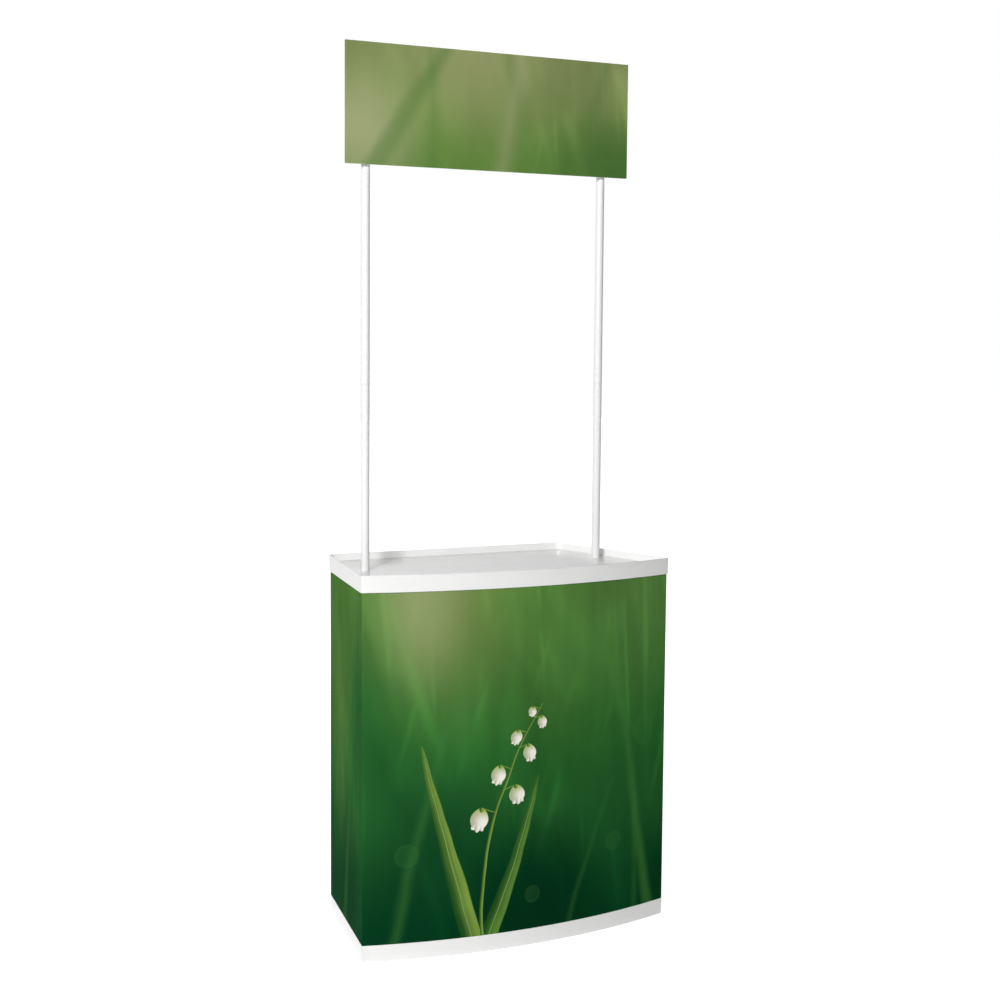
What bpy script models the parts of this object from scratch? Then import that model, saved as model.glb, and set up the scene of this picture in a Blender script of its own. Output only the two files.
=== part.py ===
"""A portable exhibition counter with a header board.

A moulded base carries four tube posts, a shelf and a printed wrap that is bent round the front and
both sides. A moulded tray closes the top. Two tube poles stand in sockets under the tray and hold
the header board with snap clips. Lengths are metres, +Z is up and the front faces -Y. The origin is
on the floor, in the middle of the tray's outline.
"""

import math

import bmesh
import bpy
from mathutils import Vector

# Plan of the printed wrap, at its outer face
front_half_width = 0.3972
side_taper = 0.0792
side_depth = 0.3896
front_bow = 0.0587
crease_radius = 0.0018
back_corner_radius = 0.0168
least_corner_radius = 0.0004
rear_return_width = 0.045

# Heights
base_skirt_height = 0.0391
graphic_height = 0.8000
tray_skirt_height = 0.0387
tray_recess_depth = 0.0172

# Clearances
seat_gap = 0.0003
slip_clearance = 0.0003
shelf_clearance = 0.0015

# Wrap
graphic_film = 0.0005
panel_wall = 0.0025

# Base moulding
base_wall = 0.0030
base_proud = 0.0005
base_draft = 0.0015
plinth_height = 0.0130
plinth_round = 0.0015
base_top_round = 0.0006
base_foot_round = 0.0010
base_socket_depth = 0.0300

# Tray moulding
tray_wall = 0.0030
tray_overhang = 0.0032
rim_width = 0.0035
rim_round = 0.0012
recess_draft = 0.0012
recess_fillet = 0.0040
skirt_foot_round = 0.0007
locating_rib_wall = 0.0025
locating_rib_depth = 0.0150
tray_rib_depth = 0.0120
tray_socket_depth = 0.0220

# Shelf moulding
shelf_wall = 0.0035
shelf_lip_depth = 0.0180
shelf_lip_wall = 0.0025
shelf_edge_round = 0.0015
shelf_seat_radius = 0.0130
shelf_seat_height = 0.0010

# Ribs under the mouldings, with their places as shares of the half width or the half depth
rib_wall = 0.0022
tray_rib_x_shares = (-0.55, -0.28, 0.0, 0.28, 0.55)
tray_rib_y_shares = (-0.62, -0.20, 0.38, 0.72)
base_rib_x_shares = (-0.75, -0.38, 0.0, 0.38, 0.75)
base_rib_y_shares = (-0.55, 0.0, 0.55)
shelf_rib_x_shares = (-0.60, -0.30, 0.0, 0.30, 0.60)
shelf_rib_y_shares = (-0.50, 0.0, 0.50)

# Inner posts
post_radius = 0.0100
post_tube_wall = 0.0012
post_inset = 0.0260
socket_wall = 0.0030
plug_collar_radius = 0.0130
plug_collar_height = 0.0030
plug_reach = 0.0250
plug_tip_chamfer = 0.0015

# Header poles
pole_radius = 0.0100
pole_tube_wall = 0.0012
pole_inset = 0.0877
pole_setback = 0.1910
lower_pole_reach = 0.4334
pole_top_drop = 0.0150
pole_edge_chamfer = 0.0004
ferrule_wall = 0.0020
ferrule_below = 0.0500
ferrule_above = 0.0400
cap_head_height = 0.0028
cap_head_round = 0.0012
cap_plug_length = 0.0180

# Sockets of the poles, screwed to bosses under the tray
pole_socket_depth = 0.1000
pole_socket_wall = 0.0025
pole_socket_floor = 0.0030
drain_hole_radius = 0.0030
ear_reach = 0.0220
ear_thickness = 0.0030
ear_half_width = 0.0070
ear_drop = 0.0100
gusset_wall = 0.0024
gusset_height = 0.0160
screw_hole_radius = 0.0021
screw_shank_radius = 0.0018
screw_head_radius = 0.0038
screw_head_height = 0.0024
screw_grip = 0.0070
screw_boss_radius = 0.0048
screw_recess_radius = 0.0016
screw_recess_depth = 0.0012
screw_crown_share = 0.70
screw_edge_share = 0.45
screw_tip_share = 0.55

# Header board
header_overhang = 0.0601
header_height = 0.2725
display_height = 0.9131
header_board_wall = 0.0030
header_film = 0.0005
header_corner_radius = 0.0020

# Snap clips that hold the header board to the poles
clip_standoff = 0.0190
clip_plate_wall = 0.0030
clip_plate_width = 0.0400
clip_plate_round = 0.0020
clip_height = 0.0300
clip_web_width = 0.0120
clip_ring_wall = 0.0025
clip_mouth_half_angle = math.radians(52)
clip_low_inset = 0.0420
clip_high_inset = 0.0480
pad_thickness = 0.0010
pad_margin = 0.0010

# Overrun of a cutter past the face it cuts
overrun = 0.0020

# Faces on the curves
bow_steps = 10
crease_steps = 2
back_corner_steps = 4
rim_steps = 3
small_round_steps = 2
fillet_steps = 3
post_sides = 20
pole_sides = 32
hole_sides = 12
clip_steps = 10
ear_steps = 6
smooth_angle = math.radians(32)

# Places that follow from the plan
quarter_turn = math.pi / 2
back_half_width = front_half_width - side_taper
chord_y = (front_bow - side_depth) / 2
back_y = chord_y + side_depth
bow_radius = (front_half_width**2 + front_bow**2) / (2 * front_bow)
bow_centre = Vector((0, chord_y - front_bow + bow_radius))
front_corner = Vector((front_half_width, chord_y))
side_run = (Vector((back_half_width, back_y)) - front_corner).normalized()
side_normal = Vector((side_run.y, -side_run.x))

# Offsets from the wrap's outer face, inwards below zero
panel_outer = -graphic_film - seat_gap
panel_inner = panel_outer - panel_wall
plinth_face = panel_inner - slip_clearance
shelf_face = panel_inner - shelf_clearance
rim_inner = tray_overhang - rim_width

# Heights that follow from the driving sizes
deck_top = base_skirt_height + plinth_height
base_socket_floor = deck_top - base_socket_depth
tray_bottom = base_skirt_height + graphic_height
rim_top = tray_bottom + tray_skirt_height
tray_floor = rim_top - tray_recess_depth
tray_underside = tray_floor - tray_wall
post_foot = base_socket_floor + seat_gap
shelf_stack = plug_collar_height + shelf_wall + shelf_seat_height + 3 * seat_gap
post_length = (tray_underside - seat_gap - post_foot - shelf_stack) / 2
collar_bottom = post_foot + post_length + seat_gap
shelf_underside = collar_bottom + plug_collar_height + seat_gap
shelf_top = shelf_underside + shelf_wall
upper_post_foot = shelf_top + shelf_seat_height + seat_gap
pole_x = front_half_width - pole_inset
pole_y = chord_y + pole_setback
socket_top = tray_underside - seat_gap
socket_floor = socket_top - pole_socket_depth
socket_ear_top = tray_underside - ear_drop - seat_gap
pole_foot = socket_floor + seat_gap
pole_joint_height = tray_floor + lower_pole_reach
header_width = 2 * (pole_x + header_overhang)
header_bottom = rim_top + display_height
header_top = header_bottom + header_height
pole_top = header_top - pole_top_drop
pad_face = pole_y - clip_standoff - seat_gap
board_back = pad_face - pad_thickness - seat_gap
board_front = board_back - header_board_wall


def corner_centre(offset, radius, at_back):
    """Centre of the rounding of the right-hand corner, on the plan grown by offset."""
    start = front_corner + side_normal * (offset - radius)
    if at_back:
        along = (back_y + offset - radius - start.y) / side_run.y
        return start + side_run * along
    from_bow = start - bow_centre
    run = from_bow.dot(side_run)
    reach = bow_radius + offset - radius
    return start + side_run * (-run - math.sqrt(run**2 - from_bow.length_squared + reach**2))


def arc_points(centre, radius, start, end, steps):
    """Points along an arc, both ends included."""
    turn = (end - start) / steps
    return [
        centre + radius * Vector((math.cos(start + turn * i), math.sin(start + turn * i)))
        for i in range(steps + 1)
    ]


def right_half(offset):
    """The plan's right half, from the middle of the bowed front to the back corner's end."""
    crease = max(least_corner_radius, crease_radius + offset)
    back = max(least_corner_radius, back_corner_radius + offset)
    crease_centre = corner_centre(offset, crease, False)
    tangent = crease_centre - bow_centre
    bow_end = math.atan2(tangent.y, tangent.x)
    side_angle = math.atan2(side_normal.y, side_normal.x)
    front = arc_points(bow_centre, bow_radius + offset, -quarter_turn, bow_end, bow_steps)
    corner = arc_points(crease_centre, crease, bow_end, side_angle, crease_steps)
    rear_centre = corner_centre(offset, back, True)
    rear = arc_points(rear_centre, back, side_angle, quarter_turn, back_corner_steps)
    return front[:-1] + corner + rear


def mirrored(points):
    return [Vector((-point.x, point.y)) for point in reversed(points)]


def plan_loop(offset):
    """The whole plan grown by offset, counter-clockwise from the middle of the front."""
    half = right_half(offset)
    return half + mirrored(half[1:])


def wrap_path(offset):
    """The wrap's line at an offset, from the end of its left return to the end of its right one."""
    half = right_half(offset)
    half.append(Vector((half[-1].x - rear_return_width, half[-1].y)))
    return mirrored(half[1:]) + half


def round_profile(centre, height, radius, start, end, steps=small_round_steps):
    """(offset, height) pairs round a small edge or fillet; angle 0 points outwards, a quarter turn up."""
    return [tuple(point) for point in arc_points(Vector((centre, height)), radius, start, end, steps)]


def new_object(name, bm):
    """An object made from a bmesh, with its faces pointing out."""
    bmesh.ops.recalc_face_normals(bm, faces=bm.faces)
    mesh = bpy.data.meshes.new(name)
    bm.to_mesh(mesh)
    bm.free()
    obj = bpy.data.objects.new(name, mesh)
    bpy.context.scene.collection.objects.link(obj)
    return obj


def loft(name, rings, capped=True):
    """A solid through rings of as many points each; without caps the last ring meets the first."""
    bm = bmesh.new()
    loops = [[bm.verts.new(point) for point in ring] for ring in rings]
    followers = loops[1:] if capped else loops[1:] + loops[:1]
    for low, high in zip(loops, followers):
        for i, corner in enumerate(low):
            before = i - 1
            bm.faces.new((low[before], corner, high[i], high[before]))
    if capped:
        bm.faces.new(loops[0])
        bm.faces.new(loops[-1])
    return new_object(name, bm)


def moulding(name, profile, base_height=0.0):
    """A shell whose section, given as (offset, height) pairs, runs all the way round the plan."""
    return loft(name, [[(p.x, p.y, z - base_height) for p in plan_loop(offset)] for offset, z in profile])


def bent_sheet(name, outer, inner, height):
    """A sheet between two offsets that follows the wrap's path, open at the back."""
    rings = [
        [(a.x, a.y, 0), (b.x, b.y, 0), (b.x, b.y, height), (a.x, a.y, height)]
        for a, b in zip(wrap_path(outer), wrap_path(inner))
    ]
    return loft(name, rings)


def turned(name, profile, sides, closed=False):
    """A turned solid about Z from (radius, height) pairs; closed when the pairs go round a section."""
    turns = [2 * math.pi * i / sides for i in range(sides)]
    rings = [[(r * math.cos(t), r * math.sin(t), z) for t in turns] for r, z in profile]
    return loft(name, rings, capped=not closed)


def tube(name, radius, wall, length, sides):
    """A plain tube from height 0 upwards."""
    section = [(radius - wall, 0), (radius, 0), (radius, length), (radius - wall, length)]
    return turned(name, section, sides, closed=True)


def pole_tube(name, length):
    """A length of header pole, with its outer ends broken by a small chamfer."""
    inner = pole_radius - pole_tube_wall
    section = [
        (inner, 0),
        (pole_radius - pole_edge_chamfer, 0),
        (pole_radius, pole_edge_chamfer),
        (pole_radius, length - pole_edge_chamfer),
        (pole_radius - pole_edge_chamfer, length),
        (inner, length),
    ]
    return turned(name, section, pole_sides, closed=True)


def cylinder(name, radius, low, high, centre=(0, 0), sides=hole_sides):
    obj = turned(name, [(radius, low), (radius, high)], sides)
    move_mesh(obj, (centre[0], centre[1], 0))
    return obj


def prism(name, outline, low, high):
    """An outline in X and Y, raised from one height to another."""
    return loft(name, [[(p[0], p[1], z) for p in outline] for z in (low, high)])


def block(name, low, high):
    outline = [(low[0], low[1]), (high[0], low[1]), (high[0], high[1]), (low[0], high[1])]
    return prism(name, outline, low[2], high[2])


def rounded_slab(name, width, height, thickness, corner):
    """A slab that stands in the XZ plane with its back at y = 0 and its foot at z = 0."""
    outline = []
    for number, (x, z) in enumerate(
        ((width / 2, 0), (width / 2, height), (-width / 2, height), (-width / 2, 0))
    ):
        inward = Vector((-math.copysign(corner, x), corner if z == 0 else -corner))
        start = (number - 1) * quarter_turn
        centre = Vector((x, z)) + inward
        outline += arc_points(centre, corner, start, start + quarter_turn, small_round_steps)
    return loft(name, [[(p.x, y, p.y) for p in outline] for y in (-thickness, 0)])


def move_mesh(obj, shift):
    for vertex in obj.data.vertices:
        vertex.co += Vector(shift)


def combine(target, tool, operation):
    """Applies an exact Boolean to the target and removes the tool."""
    modifier = target.modifiers.new(operation.lower(), "BOOLEAN")
    modifier.operation = operation
    modifier.solver = "EXACT"
    modifier.object = tool
    graph = bpy.context.evaluated_depsgraph_get()
    result = bpy.data.meshes.new_from_object(target.evaluated_get(graph))
    target.modifiers.clear()
    before = target.data
    target.data = result
    result.name = target.name
    bpy.data.meshes.remove(before)
    bpy.data.objects.remove(tool)


def add(target, *tools):
    for tool in tools:
        combine(target, tool, "UNION")


def cut(target, *tools):
    for tool in tools:
        combine(target, tool, "DIFFERENCE")


def rib_grid(name, x_places, y_places, low, high, core):
    """Crossing ribs that fill a core solid: those at x_places run front to back, the others across."""
    half_width = front_half_width + tray_overhang
    half_depth = (side_depth + front_bow) / 2 + tray_overhang
    half_wall = rib_wall / 2
    ribs = []
    for x in x_places:
        ribs.append(block(name, (x - half_wall, -half_depth, low), (x + half_wall, half_depth, high)))
    for y in y_places:
        ribs.append(block(name, (-half_width, y - half_wall, low), (half_width, y + half_wall, high)))
    grid = ribs[0]
    add(grid, *ribs[1:])
    combine(grid, core, "INTERSECT")
    return grid


def rib_places(x_shares, y_shares):
    """Rib places across the half width and the half depth of the plan."""
    half_depth = (side_depth + front_bow) / 2
    return [share * front_half_width for share in x_shares], [share * half_depth for share in y_shares]


def post_places():
    """Name and centre of each inner post, in the four corners of the wrap."""
    places = {}
    for row, at_back in (("front", False), ("rear", True)):
        centre = corner_centre(0, post_inset, at_back)
        for side, sign in (("left", -1), ("right", 1)):
            places[f"{row}_{side}"] = (sign * centre.x, centre.y)
    return places


def finish(obj, material, location=(0, 0, 0), parent=None):
    """Gives the object its material and smooth round faces, and sets it in the world under its parent."""
    obj.data.materials.clear()
    obj.data.materials.append(material)
    obj.data.shade_smooth()
    obj.data.set_sharp_from_angle(angle=smooth_angle)
    obj.location = Vector(location)
    if parent:
        obj.parent = parent
        obj.location -= world_place(parent)
    return obj


def world_place(obj):
    place = obj.location.copy()
    while obj.parent:
        obj = obj.parent
        place += obj.location
    return place


def joint_empty(name, location, parent=None):
    """An empty on a joint's axis, which carries one moving body."""
    empty = bpy.data.objects.new(name, None)
    bpy.context.scene.collection.objects.link(empty)
    empty.location = Vector(location)
    if parent:
        empty.parent = parent
        empty.location -= world_place(parent)
    return empty


def surface(name, colour, roughness, metallic=0.0):
    material = bpy.data.materials.new(name)
    material.use_nodes = True
    shader = material.node_tree.nodes["Principled BSDF"]
    shader.inputs["Base Color"].default_value = (*colour, 1.0)
    shader.inputs["Roughness"].default_value = roughness
    shader.inputs["Metallic"].default_value = metallic
    material.diffuse_color = (*colour, 1.0)
    return material


def base_tray():
    """The moulded base: a drafted skirt, a ledge for the wrap, a raised deck and ribs down to the floor."""
    foot = base_proud - base_draft
    inner_foot = foot - base_wall
    inner_top = base_proud - base_wall
    inner_plinth = plinth_face - base_wall
    profile = [
        *round_profile(plinth_face - plinth_round, deck_top - plinth_round, plinth_round, quarter_turn, 0),
        (plinth_face, base_skirt_height),
        *round_profile(
            base_proud - base_top_round,
            base_skirt_height - base_top_round,
            base_top_round,
            quarter_turn,
            0,
        ),
        *round_profile(foot - base_foot_round, base_foot_round, base_foot_round, 0, -quarter_turn),
        (inner_foot, 0),
        (inner_top, base_skirt_height - base_wall),
        (inner_plinth, base_skirt_height - base_wall),
        (inner_plinth, deck_top - base_wall),
    ]
    tray = moulding("base_tray", profile)
    middle_skirt = (foot + inner_top) / 2
    middle_plinth = plinth_face - base_wall / 2
    middle_ledge = base_skirt_height - base_wall / 2
    middle_deck = deck_top - base_wall / 2
    core = moulding(
        "base_core",
        [
            (middle_skirt, 0),
            (middle_skirt, middle_ledge),
            (middle_plinth, middle_ledge),
            (middle_plinth, middle_deck),
        ],
    )
    x_places, y_places = rib_places(base_rib_x_shares, base_rib_y_shares)
    add(tray, rib_grid("base_ribs", x_places, y_places, -overrun, deck_top, core))
    bore = post_radius + slip_clearance
    for place in post_places().values():
        boss_foot = base_socket_floor - base_wall
        add(tray, cylinder("boss", bore + socket_wall, boss_foot, middle_deck, place, post_sides))
        cut(tray, cylinder("bore", bore, base_socket_floor, deck_top + overrun, place, post_sides))
    return tray


def countertop_tray():
    """The moulded tray: a recess inside a thin rim, a skirt over the wrap, and ribs and sockets below."""
    rib_inner = plinth_face - locating_rib_wall
    rib_foot = tray_underside - locating_rib_depth
    wall_foot = rim_inner - recess_draft
    profile = [
        *round_profile(
            wall_foot - recess_fillet,
            tray_floor + recess_fillet,
            recess_fillet,
            -quarter_turn,
            0,
            fillet_steps,
        ),
        *round_profile(
            rim_inner + rim_round,
            rim_top - rim_round,
            rim_round,
            2 * quarter_turn,
            quarter_turn,
            rim_steps,
        ),
        *round_profile(
            tray_overhang - rim_round, rim_top - rim_round, rim_round, quarter_turn, 0, rim_steps
        ),
        *round_profile(
            tray_overhang - skirt_foot_round,
            tray_bottom + skirt_foot_round,
            skirt_foot_round,
            0,
            -quarter_turn,
        ),
        (slip_clearance, tray_bottom),
        (slip_clearance, tray_underside),
        (plinth_face, tray_underside),
        (plinth_face, rib_foot),
        (rib_inner, rib_foot),
        (rib_inner, tray_underside),
    ]
    tray = moulding("countertop_tray", profile, tray_bottom)
    middle_rib = plinth_face - locating_rib_wall / 2
    middle_floor = tray_underside + tray_wall / 2 - tray_bottom
    rib_low = tray_underside - tray_rib_depth - tray_bottom
    core = moulding("tray_core", [(middle_rib, rib_low), (middle_rib, middle_floor)])
    x_places, y_places = rib_places(tray_rib_x_shares, tray_rib_y_shares)
    add(tray, rib_grid("tray_ribs", x_places, y_places, rib_low - overrun, middle_floor + overrun, core))
    underside = tray_underside - tray_bottom
    bore = post_radius + slip_clearance
    for place in post_places().values():
        boss_foot = underside - tray_socket_depth
        add(tray, cylinder("boss", bore + socket_wall, boss_foot, middle_floor, place, post_sides))
        cut(tray, cylinder("bore", bore, boss_foot - overrun, underside, place, post_sides))
    pole_hole = pole_radius + slip_clearance
    for x in (-pole_x, pole_x):
        for y in (pole_y - ear_reach, pole_y + ear_reach):
            boss_foot = underside - ear_drop
            pilot_top = boss_foot + screw_grip + overrun
            add(tray, cylinder("screw_boss", screw_boss_radius, boss_foot, middle_floor, (x, y)))
            cut(tray, cylinder("pilot", screw_hole_radius, boss_foot - overrun, pilot_top, (x, y)))
        low, high = underside - overrun, tray_floor - tray_bottom + overrun
        cut(tray, cylinder("pole_hole", pole_hole, low, high, (x, pole_y), pole_sides))
    return tray


def shelf():
    """The moulded shelf: a deck with a lip turned down all round, ribs, and a raised seat at each post."""
    foot = shelf_top - shelf_lip_depth
    lip_inner = shelf_face - shelf_lip_wall
    profile = [
        *round_profile(
            shelf_face - shelf_edge_round, shelf_top - shelf_edge_round, shelf_edge_round, quarter_turn, 0
        ),
        (shelf_face, foot),
        (lip_inner, foot),
        (lip_inner, shelf_underside),
    ]
    board = moulding("shelf", profile, shelf_top)
    middle_lip = shelf_face - shelf_lip_wall / 2
    middle_deck = shelf_underside + shelf_wall / 2 - shelf_top
    core = moulding("shelf_core", [(middle_lip, foot - shelf_top), (middle_lip, middle_deck)])
    x_places, y_places = rib_places(shelf_rib_x_shares, shelf_rib_y_shares)
    low = foot - shelf_top - overrun
    add(board, rib_grid("shelf_ribs", x_places, y_places, low, middle_deck + overrun, core))
    hole = post_radius - post_tube_wall
    for place in post_places().values():
        under = shelf_underside - shelf_top - overrun
        above = shelf_seat_height + overrun
        add(board, cylinder("seat", shelf_seat_radius, middle_deck, shelf_seat_height, place, post_sides))
        cut(board, cylinder("plug_hole", hole, under, above, place, post_sides))
    return board


def shelf_plug(name):
    """A turned plug that joins two posts end to end and carries the shelf on its collar."""
    pin = post_radius - post_tube_wall - slip_clearance
    above = shelf_stack - seat_gap + plug_reach
    profile = [
        (pin - plug_tip_chamfer, -seat_gap - plug_reach),
        (pin, plug_tip_chamfer - seat_gap - plug_reach),
        (pin, 0),
        (plug_collar_radius, 0),
        (plug_collar_radius, plug_collar_height),
        (pin, plug_collar_height),
        (pin, above - plug_tip_chamfer),
        (pin - plug_tip_chamfer, above),
    ]
    return turned(name, profile, post_sides)


def pole_socket(name):
    """A deep cup for the foot of a pole, with two screw ears held by gussets. Its top is at height 0."""
    bore = pole_radius + slip_clearance
    shell = bore + pole_socket_wall
    foot = -pole_socket_depth - pole_socket_floor
    section = [
        (drain_hole_radius, foot),
        (shell, foot),
        (shell, 0),
        (bore, 0),
        (bore, -pole_socket_depth),
        (drain_hole_radius, -pole_socket_depth),
    ]
    cup = turned(name, section, post_sides, closed=True)
    ear_top = socket_ear_top - socket_top
    ear_foot = ear_top - ear_thickness
    for sign in (-1, 1):
        tip = Vector((0, sign * ear_reach))
        start = 0 if sign > 0 else -2 * quarter_turn
        outline = arc_points(tip, ear_half_width, start, start + 2 * quarter_turn, ear_steps)
        root = bore + pole_socket_wall / 2
        outline += [(-sign * ear_half_width, sign * root), (sign * ear_half_width, sign * root)]
        add(cup, prism("ear", outline, ear_foot, ear_top))
        web_end = ear_reach - screw_head_radius - 2 * slip_clearance
        side = [
            (sign * root, ear_foot + ear_thickness / 2),
            (sign * web_end, ear_foot + ear_thickness / 2),
            (sign * web_end, ear_foot - gusset_wall / 2),
            (sign * root, ear_foot - gusset_height),
        ]
        half = gusset_wall / 2
        add(cup, loft("gusset", [[(x, y, z) for y, z in side] for x in (-half, half)]))
        hole_at = (0, sign * ear_reach)
        cut(cup, cylinder("hole", screw_hole_radius, ear_foot - overrun, ear_top + overrun, hole_at))
    return cup


def screw(name):
    """A pan-head screw that points up, with its head's seat at height 0 and a round driver recess."""
    reach = ear_thickness + seat_gap + screw_grip
    profile = [
        (screw_recess_radius, screw_recess_depth - screw_head_height),
        (screw_recess_radius, -screw_head_height),
        (screw_head_radius * screw_crown_share, -screw_head_height),
        (screw_head_radius, -screw_head_height * screw_edge_share),
        (screw_head_radius, 0),
        (screw_shank_radius, 0),
        (screw_shank_radius, reach - screw_shank_radius),
        (screw_shank_radius * screw_tip_share, reach),
    ]
    return turned(name, profile, hole_sides)


def pole_cap(name):
    """A domed end cap with a plug that pushes into a pole. Its head's underside is at height 0."""
    plug = pole_radius - pole_tube_wall - slip_clearance
    head = round_profile(
        pole_radius - cap_head_round, cap_head_height - cap_head_round, cap_head_round, 0, quarter_turn
    )
    profile = [
        (plug - plug_tip_chamfer, -cap_plug_length),
        (plug, plug_tip_chamfer - cap_plug_length),
        (plug, 0),
        (pole_radius, 0),
        *head,
    ]
    return turned(name, profile, pole_sides)


def ferrule(name):
    """The inner sleeve that joins the two lengths of a pole, from height 0 upwards."""
    radius = pole_radius - pole_tube_wall - slip_clearance
    return tube(name, radius, ferrule_wall, ferrule_below + ferrule_above, post_sides)


def header_clip(name):
    """A snap clip: a flat plate and a web that carry an open ring round the pole, which is its origin."""
    inner = pole_radius + slip_clearance
    outer = inner + clip_ring_wall
    half_plate = clip_plate_width / 2
    half_web = clip_web_width / 2
    plate_back = clip_plate_wall - clip_standoff
    web_angle = math.asin(half_web / outer)
    mouth = quarter_turn - clip_mouth_half_angle
    axis = Vector((0, 0))
    ring = arc_points(axis, outer, web_angle - quarter_turn, mouth, clip_steps)
    tip_centre = (inner + outer) / 2 * Vector((math.cos(mouth), math.sin(mouth)))
    tip = arc_points(tip_centre, clip_ring_wall / 2, mouth, mouth + 2 * quarter_turn, rim_steps)
    throat = arc_points(axis, inner, mouth, -quarter_turn, clip_steps)
    plate_corner = Vector((half_plate - clip_plate_round, plate_back - clip_plate_round))
    corner = arc_points(plate_corner, clip_plate_round, 0, quarter_turn, small_round_steps)
    half = [Vector((half_plate, -clip_standoff)), *corner, Vector((half_web, plate_back))]
    half += ring[:-1] + tip + throat[1:-1]
    outline = half + [throat[-1]] + mirrored(half)
    return prism(name, outline, -clip_height / 2, clip_height / 2)


def build():
    for obj in list(bpy.data.objects):
        bpy.data.objects.remove(obj)

    moulded_white = surface("moulded_white", (0.83, 0.83, 0.82), 0.30)
    panel_white = surface("panel_white", (0.80, 0.80, 0.79), 0.45)
    printed_green = surface("printed_green", (0.10, 0.26, 0.07), 0.40)
    header_green = surface("header_green", (0.22, 0.32, 0.13), 0.40)
    tube_white = surface("tube_white", (0.85, 0.85, 0.85), 0.28)
    plug_white = surface("plug_white", (0.72, 0.72, 0.71), 0.45)
    clip_white = surface("clip_white", (0.76, 0.76, 0.75), 0.38)
    foam_white = surface("foam_white", (0.70, 0.70, 0.69), 0.90)
    screw_steel = surface("screw_steel", (0.62, 0.62, 0.60), 0.30, 1.0)

    base_body = joint_empty("base_body", (0, 0, 0))
    wrap_body = joint_empty("wrap_body", (0, 0, base_skirt_height), base_body)
    top_body = joint_empty("top_body", (0, 0, tray_bottom), wrap_body)

    finish(base_tray(), moulded_white, (0, 0, 0), base_body)
    for place, (x, y) in post_places().items():
        lower = tube(f"lower_post_{place}", post_radius, post_tube_wall, post_length, post_sides)
        finish(lower, tube_white, (x, y, post_foot), base_body)
        finish(shelf_plug(f"shelf_plug_{place}"), plug_white, (x, y, collar_bottom), base_body)
        upper = tube(f"upper_post_{place}", post_radius, post_tube_wall, post_length, post_sides)
        finish(upper, tube_white, (x, y, upper_post_foot), base_body)
    finish(shelf(), moulded_white, (0, 0, shelf_top), base_body)

    wrap_foot = base_skirt_height + seat_gap
    panel_height = tray_underside - seat_gap - wrap_foot
    panel = bent_sheet("wrap_panel", panel_outer, panel_inner, panel_height)
    finish(panel, panel_white, (0, 0, wrap_foot), wrap_body)
    film_height = tray_bottom - seat_gap - wrap_foot
    graphic = bent_sheet("wrap_graphic", 0, -graphic_film, film_height)
    finish(graphic, printed_green, (0, 0, wrap_foot), wrap_body)

    finish(countertop_tray(), moulded_white, (0, 0, tray_bottom), top_body)
    carrier = None
    for side, sign in (("left", -1), ("right", 1)):
        x = sign * pole_x
        finish(pole_socket(f"pole_socket_{side}"), plug_white, (x, pole_y, socket_top), top_body)
        for row, step in (("front", -1), ("rear", 1)):
            place = (x, pole_y + step * ear_reach, socket_ear_top - ear_thickness - seat_gap)
            finish(screw(f"socket_screw_{side}_{row}"), screw_steel, place, top_body)
        lower_body = joint_empty(f"lower_pole_{side}_body", (x, pole_y, pole_foot), top_body)
        lower = pole_tube(f"lower_pole_{side}", pole_joint_height - pole_foot)
        finish(lower, tube_white, (x, pole_y, pole_foot), lower_body)
        sleeve_foot = pole_joint_height - ferrule_below
        finish(ferrule(f"pole_ferrule_{side}"), plug_white, (x, pole_y, sleeve_foot), lower_body)
        upper_foot = pole_joint_height + seat_gap
        upper_body = joint_empty(f"upper_pole_{side}_body", (x, pole_y, upper_foot), lower_body)
        upper = pole_tube(f"upper_pole_{side}", pole_top - upper_foot)
        finish(upper, tube_white, (x, pole_y, upper_foot), upper_body)
        finish(pole_cap(f"pole_cap_{side}"), plug_white, (x, pole_y, pole_top + seat_gap), upper_body)
        carrier = carrier or upper_body

    header_body = joint_empty("header_body", (-pole_x, pole_y, header_bottom), carrier)
    face = (header_width, header_height)
    board = rounded_slab("header_board", *face, header_board_wall, header_corner_radius)
    finish(board, panel_white, (0, board_back, header_bottom), header_body)
    film = rounded_slab("header_graphic", *face, header_film, header_corner_radius)
    finish(film, header_green, (0, board_front - seat_gap, header_bottom), header_body)
    rows = (("low", header_bottom + clip_low_inset), ("high", header_top - clip_high_inset))
    for side, sign in (("left", -1), ("right", 1)):
        for row, height in rows:
            x = sign * pole_x
            finish(header_clip(f"header_clip_{side}_{row}"), clip_white, (x, pole_y, height), header_body)
            pad = rounded_slab(
                f"clip_pad_{side}_{row}",
                clip_plate_width - 2 * pad_margin,
                clip_height - 2 * pad_margin,
                pad_thickness,
                clip_plate_round,
            )
            foot = height - clip_height / 2 + pad_margin
            finish(pad, foam_white, (x, pad_face, foot), header_body)


build()
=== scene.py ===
"""The looks of a portable exhibition counter: moulded plastics, a printed wrap and header, coated tubes.

Metres, +Z is up and the bowed front faces -Y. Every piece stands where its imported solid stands.
"""
import math

import bmesh
import bpy
from mathutils import Matrix, Vector


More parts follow.
